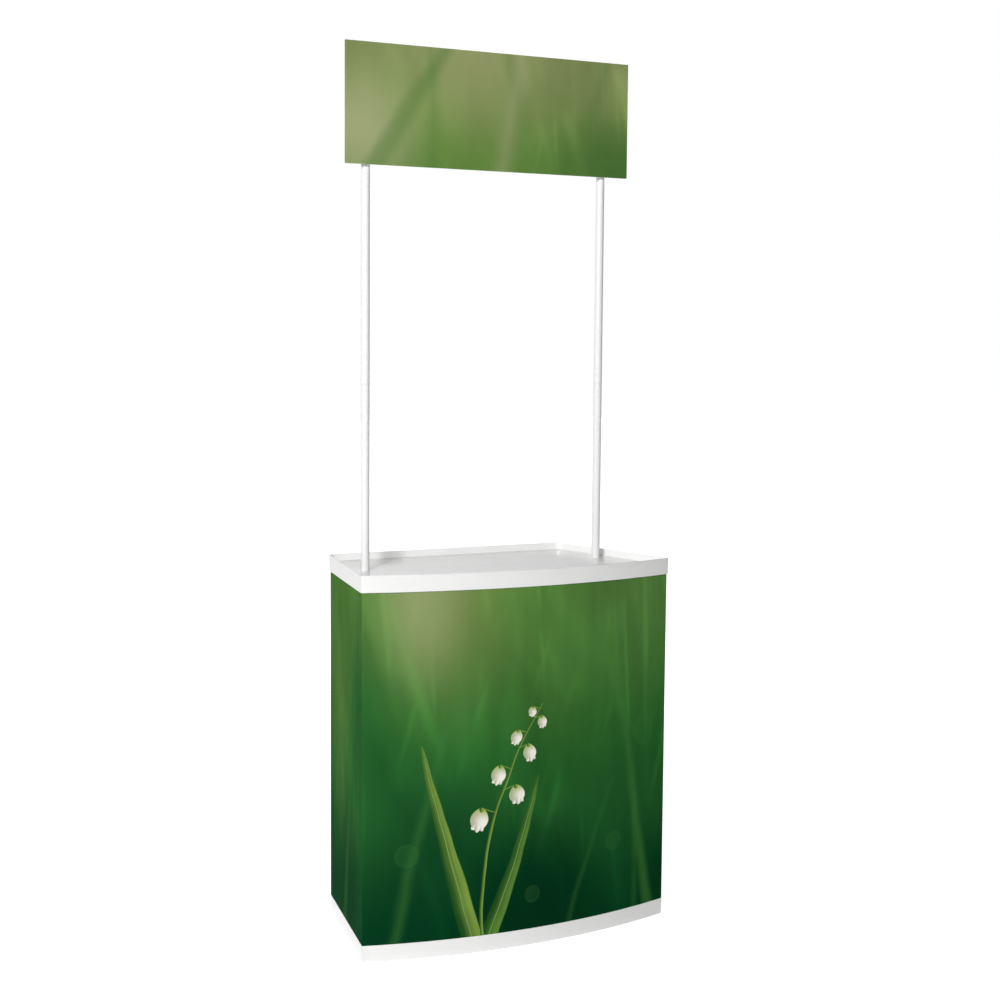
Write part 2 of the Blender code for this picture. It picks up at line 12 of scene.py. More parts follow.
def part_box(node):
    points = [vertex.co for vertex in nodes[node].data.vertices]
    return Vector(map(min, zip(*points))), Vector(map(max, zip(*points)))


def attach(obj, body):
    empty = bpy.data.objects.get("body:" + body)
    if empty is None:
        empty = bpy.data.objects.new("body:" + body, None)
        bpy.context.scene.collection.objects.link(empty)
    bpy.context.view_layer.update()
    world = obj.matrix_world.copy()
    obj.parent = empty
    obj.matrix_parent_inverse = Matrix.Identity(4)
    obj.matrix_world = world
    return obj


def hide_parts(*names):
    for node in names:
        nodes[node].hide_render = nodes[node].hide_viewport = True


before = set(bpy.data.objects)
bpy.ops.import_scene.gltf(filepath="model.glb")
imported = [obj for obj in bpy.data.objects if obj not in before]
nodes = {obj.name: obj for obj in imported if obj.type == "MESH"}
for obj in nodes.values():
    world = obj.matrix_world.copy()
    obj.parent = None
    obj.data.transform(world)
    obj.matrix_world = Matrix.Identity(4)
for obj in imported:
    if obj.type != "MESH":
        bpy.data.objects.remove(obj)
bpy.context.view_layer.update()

SIDES = ("left", "right")
CORNERS = ("front_left", "front_right", "rear_left", "rear_right")
CLIPS = ("left_low", "left_high", "right_low", "right_high")
SCREWS = ("left_front", "left_rear", "right_front", "right_rear")
quarter_turn = math.pi / 2

# Plan of the wrap at the outer face of its print, as the solids have it
front_half_width = 0.3972
side_taper = 0.0792
side_depth = 0.3896
front_bow = 0.0587
crease_radius = 0.0018
back_corner_radius = 0.0168
rear_return_width = 0.045
film_thickness = 0.0005

# Boards of the header
header_corner_radius = 0.0020

# Tubes
tube_radius = 0.0100
tube_wall = 0.0012
tube_edge_round = 0.0004

# Broken edges of the smaller mouldings
clip_edge_round = 0.0005
plug_edge_round = 0.0003

# Driver recess of a screw, and the chance by which the screws are turned
recess_arm_half_width = 0.00045
recess_arm_reach = 0.0021
recess_depth = 0.0015
recess_taper = 0.7
turn_seed = 7

# Faces on the curves
bow_steps = 20
crease_steps = 6
back_corner_steps = 10
tube_sides = 48
small_steps = 2

# Meshes
smooth_angle = math.radians(32)
merge_distance = 1e-6

# Ribs under the tray and the base, as places along X and along Y
half_depth = (side_depth + front_bow) / 2
tray_ribs = (
    [share * front_half_width for share in (-0.55, -0.28, 0.0, 0.28, 0.55)],
    [share * half_depth for share in (-0.62, -0.20, 0.38, 0.72)],
)
base_ribs = (
    [share * front_half_width for share in (-0.75, -0.38, 0.0, 0.38, 0.75)],
    [share * half_depth for share in (-0.55, 0.0, 0.55)],
)
rib_mark_width = 0.0045

# How strongly the matte film over the prints mirrors
print_specular = 0.012

# Studio, and the camera that was fitted to the photograph
floor_half_size = 24.0
lamp_target = (0.0, 0.0, 0.9)
camera_place = (-1.9028, -3.73795, 1.3995)
camera_degrees = (27.325, 5.199, 0.452)
camera_lens = 63.684
camera_sensor = 36.0

# Kinds of socket
COLOUR, NUMBER, VECTOR = "NodeSocketColor", "NodeSocketFloat", "NodeSocketVector"
COUNT, OBJECT, MATERIAL = "NodeSocketInt", "NodeSocketObject", "NodeSocketMaterial"
OUTPUT_KINDS = {"Colour": COLOUR, "Normal": VECTOR, "Nearest": VECTOR}
plain_tone = (0.8, 0.8, 0.8, 1.0)
white = (1.0, 1.0, 1.0, 1.0)


# Helpers for node trees


def tone(red, green, blue):
    """A colour given as screen values from 0 to 255, made linear."""
    parts = []
    for value in (red, green, blue):
        share = value / 255
        parts.append(share / 12.92 if share <= 0.04045 else ((share + 0.055) / 1.055) ** 2.4)
    return (*parts, 1.0)


class Bench:
    """Sets out the nodes of one tree in rows and joins their sockets."""

    row, column_width, row_height = 10, 190, 280

    def __init__(self, tree):
        self.tree = tree

    def node(self, kind, inputs=(), **settings):
        place = len(self.tree.nodes)
        made = self.tree.nodes.new(kind)
        made.location = (place % self.row * self.column_width, -(place // self.row) * self.row_height)
        for key, value in settings.items():
            setattr(made, key, value)
        for key, value in dict(inputs).items():
            self.feed(made.inputs[key], value)
        return made

    def feed(self, socket, value):
        if isinstance(value, bpy.types.NodeSocket):
            self.tree.links.new(value, socket)
        else:
            socket.default_value = value

    def first(self, kind, inputs=(), **settings):
        """The first output of a new node."""
        return self.node(kind, inputs, **settings).outputs[0]

    def maths(self, operation, *values, clamp=False):
        return self.first("ShaderNodeMath", enumerate(values), operation=operation, use_clamp=clamp)

    def times(self, value, factor):
        return self.maths("MULTIPLY", value, factor)

    def minus(self, value, taken):
        return self.maths("SUBTRACT", value, taken)

    def times_plus(self, value, factor, added):
        return self.maths("MULTIPLY_ADD", value, factor, added)

    def vector(self, operation, *values):
        made = self.node("ShaderNodeVectorMath", enumerate(values), operation=operation)
        return made.outputs["Value" if operation in ("DISTANCE", "DOT_PRODUCT") else "Vector"]

    def dot(self, vector, direction):
        return self.vector("DOT_PRODUCT", vector, direction)

    def scaled(self, colour, factor):
        return self.first("ShaderNodeVectorMath", {0: colour, "Scale": factor}, operation="SCALE")

    def parts(self, vector):
        return self.node("ShaderNodeSeparateXYZ", {"Vector": vector}).outputs

    def xyz(self, x=0.0, y=0.0, z=0.0):
        return self.first("ShaderNodeCombineXYZ", {"X": x, "Y": y, "Z": z})

    def object_place(self):
        return self.node("ShaderNodeTexCoord").outputs["Object"]

    def face_normal(self):
        return self.node("ShaderNodeNewGeometry").outputs["Normal"]

    def ramp(self, value, low, high, at_low=0.0, at_high=1.0, smooth=True):
        """Where value lies between low and high, as a number from at_low to at_high."""
        values = enumerate((value, low, high, at_low, at_high))
        kind = "SMOOTHSTEP" if smooth else "LINEAR"
        return self.first("ShaderNodeMapRange", values, interpolation_type=kind)

    def noise(self, vector, scale, detail=2.0, distortion=0.0):
        wires = {"Vector": vector, "Scale": scale, "Detail": detail, "Distortion": distortion}
        return self.first("ShaderNodeTexNoise", wires)

    def swing(self, *settings):
        """Noise that swings about zero."""
        return self.minus(self.noise(*settings), 0.5)

    def stretched(self, vector, scale, turn=(0.0, 0.0, 0.0)):
        """The vector turned back, then scaled: what is drawn with it lies along the turned axes."""
        wires = {"Vector": vector, "Scale": [1.0 / factor for factor in scale], "Rotation": turn}
        return self.first("ShaderNodeMapping", wires, vector_type="TEXTURE")

    def blend(self, share, under, over):
        """Colour over laid on colour under, by share."""
        return self.node("ShaderNodeMix", {0: share, 6: under, 7: over}, data_type="RGBA").outputs[2]

    def group(self, tree, **wires):
        """What a group gives. An underscore in the name of a wire stands for a space."""
        inputs = {label.replace("_", " "): value for label, value in wires.items()}
        return self.node("ShaderNodeGroup", inputs, node_tree=tree).outputs


def built(build):
    """Builds a shared tree at once, so that the function's name stands for the tree."""
    return build()


def new_group(name, inputs):
    """Starts a shader group: its bench, what it is given, and give, which names its outputs and ends it."""
    tree = bpy.data.node_groups.new(name, "ShaderNodeTree")
    for label, value in inputs.items():
        kind = NUMBER if isinstance(value, float) else VECTOR
        if value == plain_tone:
            kind = COLOUR
        socket = tree.interface.new_socket(name=label, in_out="INPUT", socket_type=kind)
        if value is not None:
            socket.default_value = value
    bench = Bench(tree)
    given = bench.node("NodeGroupInput").outputs
    results = bench.node("NodeGroupOutput").inputs

    def give(**values):
        for label, value in values.items():
            kind = OUTPUT_KINDS.get(label, NUMBER)
            tree.interface.new_socket(name=label, in_out="OUTPUT", socket_type=kind)
            bench.feed(results[label], value)
        return tree

    return bench, given, give


# Shader groups: effects that several finishes share


@built
def moulded_skin():
    """Moulded plastic: slow changes of shade, patches of gloss and a fine skin."""
    bench, given, give = new_group(
        "Moulded skin",
        {"Vector": None, "Colour": plain_tone, "Mottle": 0.012, "Gloss": 0.3, "Skin Pitch": 1500.0},
    )
    cloud = bench.swing(given["Vector"], 3.3, 3.0)
    shade = bench.times_plus(cloud, given["Mottle"], 1.0)
    patch = bench.swing(given["Vector"], 8.0, 2.0)
    return give(
        Colour=bench.scaled(given["Colour"], shade),
        Roughness=bench.times_plus(patch, 0.03, given["Gloss"]),
        Height=bench.noise(given["Vector"], given["Skin Pitch"], 2.0),
    )


@built
def handling_marks():
    """Fine scratches in two directions, gathered in patches."""
    bench, given, give = new_group("Handling marks", {"Vector": None, "Amount": 1.0})
    strokes = [
        bench.noise(bench.stretched(given["Vector"], scale, turn), 1.0, 2.0)
        for scale, turn in (
            ((16.0, 720.0, 24.0), (0.2, 0.1, 0.45)),
            ((640.0, 18.0, 30.0), (0.1, 0.3, -0.35)),
        )
    ]
    lines = bench.ramp(bench.maths("MAXIMUM", *strokes), 0.66, 0.74)
    patches = bench.ramp(bench.noise(given["Vector"], 6.0), 0.48, 0.66)
    share = bench.times(lines, patches)
    return give(Mask=bench.times(share, given["Amount"]))


@built
def settled_dust():
    """Dust that settles on faces that look up."""
    bench, given, give = new_group("Settled dust", {"Vector": None, "Amount": 1.0})
    up = bench.ramp(bench.parts(bench.face_normal())[2], 0.70, 0.98)
    film = bench.ramp(bench.noise(given["Vector"], 9.0, 5.0), 0.40, 0.72)
    specks = bench.ramp(bench.noise(given["Vector"], 420.0), 0.62, 0.74)
    lying = bench.times_plus(specks, 0.6, film)
    share = bench.times(up, lying)
    return give(Mask=bench.maths("MULTIPLY", share, given["Amount"], clamp=True))


@built
def edge_wear_and_highlight():
    """Where a face turns into an edge: handling polishes it there, moulded finishes paint a highlight with
    this mask, and its normal leans over the edge.
    """
    bench, given, give = new_group("Edge wear", {"Vector": None, "Radius": 0.001})
    rounded = bench.first("ShaderNodeBevel", {"Radius": given["Radius"]}, samples=4)
    turn = bench.minus(1.0, bench.dot(rounded, bench.face_normal()))
    rough = bench.ramp(bench.noise(given["Vector"], 90.0), 0.30, 0.70)
    return give(Mask=bench.times(bench.ramp(turn, 0.01, 0.16), rough), Normal=rounded)


def rib_marks_group(name, x_places, y_places):
    """Shallow sink marks in a moulded face, above the ribs on its other side."""
    bench, given, give = new_group(name, {"Vector": None, "Width": rib_mark_width})
    along = bench.parts(given["Vector"])
    nearest = 1.0
    for axis, places in ((0, x_places), (1, y_places)):
        for place in places:
            away = bench.maths("ABSOLUTE", bench.minus(along[axis], place))
            nearest = bench.maths("MINIMUM", nearest, away)
    return give(Dip=bench.ramp(nearest, 0.0, given["Width"], 1.0, 0.0))


tray_rib_marks = rib_marks_group("Tray rib marks", *tray_ribs)
base_rib_marks = rib_marks_group("Base rib marks", *base_ribs)


@built
def powder_coat():
    """A baked powder coat: an even colour with a fine pebbled skin."""
    bench, given, give = new_group("Powder coat", {"Vector": None, "Colour": plain_tone, "Gloss": 0.3})
    pebbles = bench.noise(given["Vector"], 1500.0, 3.0)
    shade = bench.times_plus(bench.minus(pebbles, 0.5), 0.03, 1.0)
    patch = bench.swing(given["Vector"], 30.0)
    return give(
        Colour=bench.scaled(given["Colour"], shade),
        Roughness=bench.times_plus(patch, 0.10, given["Gloss"]),
        Height=pebbles,
    )


@built
def sheet_skin():
    """Extruded plastic sheet: faint flow lines up the sheet on a matte skin."""
    bench, given, give = new_group("Sheet skin", {"Vector": None, "Colour": plain_tone, "Flow": 0.03})
    flow = bench.noise(bench.stretched(given["Vector"], (130.0, 130.0, 1.6)), 1.0, 3.0)
    grain = bench.noise(given["Vector"], 1100.0, 2.0)
    shade = bench.times_plus(bench.minus(flow, 0.5), given["Flow"], 1.0)
    return give(
        Colour=bench.scaled(given["Colour"], shade),
        Roughness=bench.ramp(grain, 0.25, 0.75, 0.42, 0.56, smooth=False),
        Height=bench.times_plus(flow, 0.5, grain),
    )


@built
def laminate():
    """The satin film over a print: a fine sand texture with slow waves, and the speckle of the ink."""
    bench, given, give = new_group("Print laminate", {"Vector": None, "Speckle": 0.05})
    sand = bench.noise(given["Vector"], 1900.0, 2.0)
    ink = bench.swing(given["Vector"], 900.0, 3.0)
    waves = bench.noise(given["Vector"], 7.0, 2.0)
    return give(
        Shade=bench.times_plus(ink, given["Speckle"], 1.0),
        Roughness=bench.ramp(waves, 0.3, 0.7, 0.74, 0.84, smooth=False),
        Height=sand,
    )


# Shader groups: what the prints are drawn with. Place is metres along the sheet and above the floor.


@built
def blurred_meadow():
    """Out-of-focus grass: three tones from the foot up, with soft patches, streaks and faint blades."""
    bench, given, give = new_group(
        "Blurred meadow",
        {
            "Place": None, "Foot": 0.0, "Reach": 1.0, "Low Tone": plain_tone,
            "Middle Tone": plain_tone, "High Tone": plain_tone, "Streaks": 0.4, "Streak Pitch": 11.0,
            "Patches": 0.5, "Blades": 0.3,
        },
    )
    drift = bench.swing(given["Place"], 2.6, 1.0)
    height = bench.minus(bench.parts(given["Place"])[1], given["Foot"])
    share = bench.times_plus(drift, 0.5, bench.maths("DIVIDE", height, given["Reach"]))
    colour = bench.blend(bench.ramp(share, 0.05, 0.62), given["Low Tone"], given["Middle Tone"])
    colour = bench.blend(bench.ramp(share, 0.45, 1.05), colour, given["High Tone"])
    upright = bench.stretched(given["Place"], (1.0, 0.09, 1.0), (0.0, 0.0, -0.05))
    streaks = bench.noise(upright, given["Streak Pitch"], 2.0)
    fine = bench.noise(upright, bench.times(given["Streak Pitch"], 3.1), 1.0)
    both = bench.times_plus(fine, 0.35, bench.minus(streaks, 0.675))
    shade = bench.times_plus(both, given["Streaks"], 1.0)
    leaning = bench.stretched(given["Place"], (1.0, 0.42, 1.0), (0.0, 0.0, 0.35))
    patch = bench.swing(leaning, 6.0, 2.0, 0.6)
    shade = bench.times_plus(patch, given["Patches"], shade)
    blades = 0.0
    for lean, pitch in ((0.32, 13.0), (-0.30, 21.0), (0.06, 34.0)):
        along = bench.stretched(given["Place"], (1.0, 0.06, 1.0), (0.0, 0.0, lean))
        blades = bench.maths("MAXIMUM", blades, bench.ramp(bench.noise(along, pitch, 1.0), 0.54, 0.78))
    here = bench.ramp(bench.noise(given["Place"], 4.5, 1.0), 0.40, 0.62)
    lift = bench.times(bench.times(blades, here), given["Blades"])
    shade = bench.maths("ADD", shade, lift)
    return give(Colour=bench.scaled(colour, shade))


@built
def soft_disc():
    """A disc of blurred light with a slightly brighter rim."""
    bench, given, give = new_group(
        "Soft disc",
        {"Place": None, "Centre": None, "Radius": 0.03, "Softness": 0.003},
    )
    away = bench.vector("DISTANCE", given["Place"], given["Centre"])
    inner = bench.minus(given["Radius"], given["Softness"])
    outer = bench.maths("ADD", given["Radius"], given["Softness"])
    disc = bench.ramp(away, inner, outer, 1.0, 0.0)
    rim = bench.ramp(bench.maths("DIVIDE", away, given["Radius"]), 0.6, 1.0, 0.7, 1.0)
    return give(Mask=bench.times(disc, rim))


@built
def soft_blade():
    """A blade or stem that rises from its foot, leans and curls, and narrows to its tip."""
    bench, given, give = new_group(
        "Soft blade",
        {
            "Place": None, "Foot": None, "Reach": 0.4, "Lean": 0.0, "Curl": 0.0, "Half Width": 0.01,
            "Softness": 0.01, "Taper": 0.5,
        },
    )
    from_foot = bench.vector("SUBTRACT", given["Place"], given["Foot"])
    rise = bench.dot(from_foot, (0.0, 1.0, 0.0))
    slope = bench.times_plus(given["Curl"], rise, given["Lean"])
    across = bench.dot(from_foot, (1.0, 0.0, 0.0))
    across = bench.minus(across, bench.times(slope, rise))
    share = bench.maths("DIVIDE", rise, given["Reach"], clamp=True)
    left = bench.maths("POWER", bench.minus(1.0, share), given["Taper"])
    half = bench.times(given["Half Width"], left)
    inner = bench.minus(half, given["Softness"])
    outer = bench.maths("ADD", half, given["Softness"])
    body = bench.ramp(bench.maths("ABSOLUTE", across), inner, outer, 1.0, 0.0)
    tip = bench.maths("LESS_THAN", share, 0.999)
    return give(
        Mask=bench.times(body, tip),
        Side=bench.maths("DIVIDE", across, given["Half Width"]),
    )


@built
def leaf_veins():
    """Fine veins along a blade, and slow changes of light up it."""
    bench, given, give = new_group("Leaf veins", {"Place": None, "Side": 0.0})
    rise = bench.dot(given["Place"], (0.0, 7.0, 0.0))
    across = bench.times(given["Side"], 6.0)
    veins = bench.noise(bench.xyz(across, rise), 1.0, 2.0)
    slow = bench.noise(given["Place"], 14.0, 1.0)
    both = bench.times_plus(slow, 0.7, veins)
    return give(Shade=bench.times_plus(both, 0.7, 0.41))


@built
def petal():
    """A leaf, petal or bud: Peak moves its widest place, Blunt makes its ends full."""
    bench, given, give = new_group(
        "Petal",
        {
            "Place": None, "Base": None, "Along": None, "Across": None, "Length": 0.03,
            "Half Width": 0.008, "Peak": 1.0, "Blunt": 1.0, "Softness": 0.0008,
        },
    )
    from_base = bench.vector("SUBTRACT", given["Place"], given["Base"])
    across = bench.dot(from_base, given["Across"])
    share = bench.dot(from_base, given["Along"])
    share = bench.maths("DIVIDE", share, given["Length"], clamp=True)
    swell = bench.maths("SINE", bench.times(bench.maths("POWER", share, given["Peak"]), math.pi))
    outline = bench.maths("POWER", bench.maths("MAXIMUM", swell, 0.0), given["Blunt"])
    half = bench.times(given["Half Width"], outline)
    inner = bench.minus(half, given["Softness"])
    body = bench.ramp(bench.maths("ABSOLUTE", across), inner, half, 1.0, 0.0)
    inside = bench.maths("GREATER_THAN", half, 0.0001)
    return give(
        Mask=bench.times(body, inside),
        Side=bench.maths("DIVIDE", across, given["Half Width"]),
        Share=share,
    )


@built
def nearest_bell():
    """The place in the nearest bell's own measure so far: down its axis, across it, and how far off."""
    bench, given, give = new_group(
        "Nearest bell",
        {
            "Place": None, "Nearest": (9.0, 9.0, 9.0), "End": None, "Down": None, "Across": None,
            "Middle": (0.028, 0.0, 0.0),
        },
    )
    from_end = bench.vector("SUBTRACT", given["Place"], given["End"])
    down = bench.dot(from_end, given["Down"])
    across = bench.dot(from_end, given["Across"])
    here = bench.xyz(down, across)
    away = bench.vector("DISTANCE", here, given["Middle"])
    here = bench.vector("MULTIPLY_ADD", away, (0.0, 0.0, 1.0), here)
    closer = bench.maths("LESS_THAN", away, bench.parts(given["Nearest"])[2])
    kept = bench.node("ShaderNodeMix", {0: closer, 4: given["Nearest"], 5: here}, data_type="VECTOR")
    return give(Nearest=kept.outputs[1])


# Materials


class MaterialBench(Bench):
    """The bench of a new Principled material, whose even values are set at once."""

    def __init__(self, name, **constants):
        self.material = bpy.data.materials.new(name)
        self.material.use_nodes = True
        super().__init__(self.material.node_tree)
        self.shader = self.tree.nodes["Principled BSDF"]
        self.shader.location = (2100, 200)
        self.tree.nodes["Material Output"].location = (2400, 200)
        for key, value in constants.items():
            self.shader.inputs[key.replace("_", " ")].default_value = value

    def finish(self, colour, roughness, height, distance, **more):
        """Joins the shader's colour, roughness and relief, which may start from another normal."""
        wires = {"Height": height, "Distance": distance, "Strength": 1.0, **more}
        relief = self.first("ShaderNodeBump", wires)
        for label, value in (("Base Color", colour), ("Roughness", roughness), ("Normal", relief)):
            self.feed(self.shader.inputs[label], value)
        return self.material


def looking_inward(bench, place):
    """Where a wall looks towards the moulding's upright middle line."""
    outward = bench.vector("NORMALIZE", bench.vector("MULTIPLY", place, (1.0, 1.0, 0.0)))
    return bench.ramp(bench.dot(outward, bench.face_normal()), -0.6, -0.1, 1.0, 0.0)


def moulded_material(name, colour, gloss, edge_reach=0.0011, rib_marks=None, inner_wall_painted_light=None):
    """White moulded plastic with scratches, dust, edges both polished by wear and painted lighter as a
    highlight and, on a ribbed deck, sink marks.

    Inward-facing walls may be painted in a lighter colour of their own: painted light that lifts their
    shade.
    """
    bench = MaterialBench(name, IOR=1.49)
    place = bench.object_place()
    skin = bench.group(moulded_skin, Vector=place, Colour=colour, Gloss=gloss)
    marks = bench.group(handling_marks, Vector=place, Amount=0.25)["Mask"]
    dust = bench.group(settled_dust, Vector=place, Amount=0.02)["Mask"]
    edge = bench.group(edge_wear_and_highlight, Vector=place, Radius=edge_reach)
    base = skin["Colour"]
    if inner_wall_painted_light:
        # Inward-facing walls painted lighter: painted light that lifts their shade.
        base = bench.blend(looking_inward(bench, place), base, inner_wall_painted_light)
    base = bench.blend(dust, base, tone(196, 191, 182))
    base = bench.blend(bench.times(marks, 0.08), base, tone(150, 150, 150))
    # Edges lightened: partly polished wear, partly a painted highlight.
    base = bench.blend(bench.times(edge["Mask"], 0.35), base, tone(246, 246, 246))
    rough = bench.times_plus(marks, 0.10, skin["Roughness"])
    rough = bench.times_plus(dust, 0.5, rough)
    rough = bench.times_plus(edge["Mask"], -0.06, rough)
    height = bench.times_plus(marks, -0.3, skin["Height"])
    if rib_marks:
        dip = bench.group(rib_marks, Vector=place)["Dip"]
        height = bench.times_plus(dip, -6.0, height)
    return bench.finish(base, rough, height, distance=0.000004, Normal=edge["Normal"])


def scuffed_material(name, ior, skin_group, wires, amount, scuff, dulling):
    """A skin that handling marks grey and dull."""
    bench = MaterialBench(name, IOR=ior)
    place = bench.object_place()
    skin = bench.group(skin_group, Vector=place, **wires)
    marks = bench.group(handling_marks, Vector=place, Amount=amount)["Mask"]
    base = bench.blend(bench.times(marks, 0.12), skin["Colour"], scuff)
    rough = bench.times_plus(marks, dulling, skin["Roughness"])
    return bench.finish(base, rough, skin["Height"], distance=0.00002)


def steel_material(name):
    """Plated steel with fine turning lines and a little wear."""
    bench = MaterialBench(name, Metallic=1.0)
    place = bench.object_place()
    rings = bench.noise(bench.stretched(place, (300.0, 300.0, 5200.0)), 1.0, 2.0)
    wear = bench.group(edge_wear_and_highlight, Vector=place, Radius=0.0004)["Mask"]
    patch = bench.noise(place, 260.0, 3.0)
    base = bench.blend(bench.ramp(patch, 0.35, 0.7), tone(186, 187, 190), tone(212, 211, 206))
    base = bench.blend(wear, base, tone(232, 232, 230))
    rough = bench.ramp(patch, 0.3, 0.7, 0.24, 0.40, smooth=False)
    return bench.finish(base, rough, rings, distance=0.000012)


def foam_material(name):
    """Closed-cell foam tape."""
    bench = MaterialBench(name)
    cells = bench.first("ShaderNodeTexVoronoi", {"Vector": bench.object_place(), "Scale": 1700.0})
    base = bench.blend(bench.ramp(cells, 0.1, 0.7), tone(224, 224, 221), tone(196, 196, 192))
    rough = bench.ramp(cells, 0.0, 0.8, 0.82, 0.95, smooth=False)
    return bench.finish(base, rough, cells, distance=0.0001)


def turned(angle, reach=1.0):
    """A line of that reach at that angle on the sheet, and the line across it."""
    line = Matrix.Rotation(math.radians(angle), 3, "Z") @ Vector((reach, 0.0, 0.0))
    return line, (-line.y, line.x, 0.0)


class PrintBench(MaterialBench):
    """A print: soft shapes laid over one another on a blurred meadow, under a satin film."""

    waver_reach = 0.012

    def __init__(self, name, tones, **wires):
        """The place wavers by a few millimetres, so that no outline is quite even."""
        super().__init__(name, IOR=1.45, Specular_IOR_Level=print_specular)
        self.sheet = self.first("ShaderNodeUVMap", uv_map="print")
        wires.update(zip(("Low_Tone", "Middle_Tone", "High_Tone"), tones))
        self.colour = self.group(blurred_meadow, Place=self.sheet, **wires)["Colour"]
        cloud = self.node("ShaderNodeTexNoise", {"Vector": self.sheet, "Scale": 8.0, "Detail": 1.0})
        waver = self.vector("SUBTRACT", cloud.outputs["Color"], (0.5, 0.5, 0.5))
        reach = (self.waver_reach, self.waver_reach, 0.0)
        self.place = self.vector("MULTIPLY_ADD", waver, reach, self.sheet)

    def lay(self, mask, strength, over):
        self.colour = self.blend(self.times(mask, strength), self.colour, over)

    def glows(self, *rows):
        """Wide patches of light, each as wide and as tall as its reach says."""
        for centre, reach, over, strength in rows:
            away = self.vector("SUBTRACT", self.place, (*centre, 0.0))
            away = self.vector("DIVIDE", away, (*reach, 1.0))
            length = self.vector("DISTANCE", away, (0.0, 0.0, 0.0))
            self.lay(self.ramp(length, 0.0, 1.0, 1.0, 0.0), strength, over)

    def discs(self, over, softness, *rows):
        """Blurred lights of one colour."""
        for centre, radius, strength in rows:
            form = {"Centre": (*centre, 0.0), "Radius": radius, "Softness": softness}
            self.lay(self.group(soft_disc, Place=self.place, **form)["Mask"], strength, over)

    def blade(self, foot, reach, lean, curl, half_width, softness, over, strength, taper=0.5, rib=None):
        form = {"Foot": (*foot, 0.0), "Reach": reach, "Lean": lean, "Curl": curl, "Half_Width": half_width}
        blade = self.group(soft_blade, Place=self.place, Softness=softness, Taper=taper, **form)
        if rib:
            over = self.blend(self.ramp(blade["Side"], -0.8, 0.8), rib, over)
            veins = self.group(leaf_veins, Place=self.place, Side=blade["Side"])
            over = self.scaled(over, veins["Shade"])
        self.lay(blade["Mask"], strength, over)

    def blades(self, over, *rows):
        """Blurred blades of one colour."""
        for *form, strength in rows:
            self.blade(*form, over, strength)

    def petal(self, base, angle, size, form, light, dark, root=None, softness=0.0008, place=None):
        """size is length and half width, form is peak and bluntness. It may start in the colour root."""
        along, across = turned(angle)
        wires = {"Base": (*base, 0.0), "Along": along, "Across": across, "Softness": softness}
        wires.update(zip(("Length", "Half_Width", "Peak", "Blunt"), (*size, *form)))
        shape = self.group(petal, Place=place or self.place, **wires)
        over = self.blend(self.ramp(shape["Side"], -0.9, 0.5), dark, light)
        if root:
            over = self.blend(self.ramp(shape["Share"], 0.05, 0.60), root, over)
        self.lay(shape["Mask"], 1.0, over)

    def nearest(self, bells):
        """The place in the nearest bell's own measure. bells gives each one's end, droop and size."""
        nearest = (9.0, 9.0, 9.0)
        for end, droop, size in bells:
            down, across = turned(droop, 1.0 / size)
            wires = {"Nearest": nearest, "End": (*end, 0.0), "Down": down, "Across": across}
            nearest = self.group(nearest_bell, Place=self.place, **wires)["Nearest"]
        return nearest

    def film_over(self):
        """Ends the print in its film and its light speckle."""
        film = self.group(laminate, Vector=self.sheet)
        colour = self.scaled(self.colour, film["Shade"])
        return self.finish(colour, film["Roughness"], film["Height"], distance=0.000012)


def bell_stem(art, foot):
    """An arching stem with two broad leaves and a row of small pale bells, which get smaller upwards."""
    reach, lean, curl = 0.53, -0.10, 0.72
    stalk_reach, smaller_by = 0.035, 0.085
    shade, light = tone(30, 78, 30), tone(126, 158, 70)
    for start, height, slope, bend, half_width, colour in (
        ((-0.140, 0.02), 0.47, -0.32, 0.10, 0.027, light),
        ((-0.112, 0.02), 0.38, 0.42, -0.20, 0.023, tone(96, 140, 60)),
    ):
        art.blade(start, height, slope, bend, half_width, 0.0022, colour, 0.92, taper=0.6, rib=shade)
        art.blade(start, height * 0.94, slope, bend, 0.0012, 0.0010, tone(150, 178, 96), 0.6, 0.3)
    art.blade(foot, reach, lean, curl, 0.0042, 0.0008, light, 1.0, 0.30, tone(60, 96, 40))
    bells = []
    for number, rise in enumerate((0.285, 0.336, 0.383, 0.425, 0.461, 0.491, 0.515)):
        size = 1.0 - smaller_by * number
        hang = foot + Vector(((lean + curl * rise) * rise, rise))
        stalk_angle, droop = ((158, -104), (20, -80))[number % 2]
        end = hang + turned(stalk_angle, stalk_reach * size)[0].to_2d()
        art.petal(hang, stalk_angle, (0.036 * size, 0.0019), (0.8, 0.4), light, shade)
        bells.append((end, droop, size))
    here = art.nearest(bells)
    bell, bell_shade, green = tone(244, 240, 230), tone(178, 180, 152), tone(170, 184, 112)
    art.petal((0.0, 0.0), 0, (0.050, 0.0220), (1.15, 0.50), bell, bell_shade, green, place=here)
    for turn in (-38, 38, 0):
        lip = (0.033, 0.0), turn, (0.0230, 0.0074), (1.2, 0.6)
        art.petal(*lip, bell, bell_shade, softness=0.0014, place=here)
    art.petal((-0.001, 0.0), 0, (0.012, 0.0065), (0.8, 0.6), light, shade, place=here)


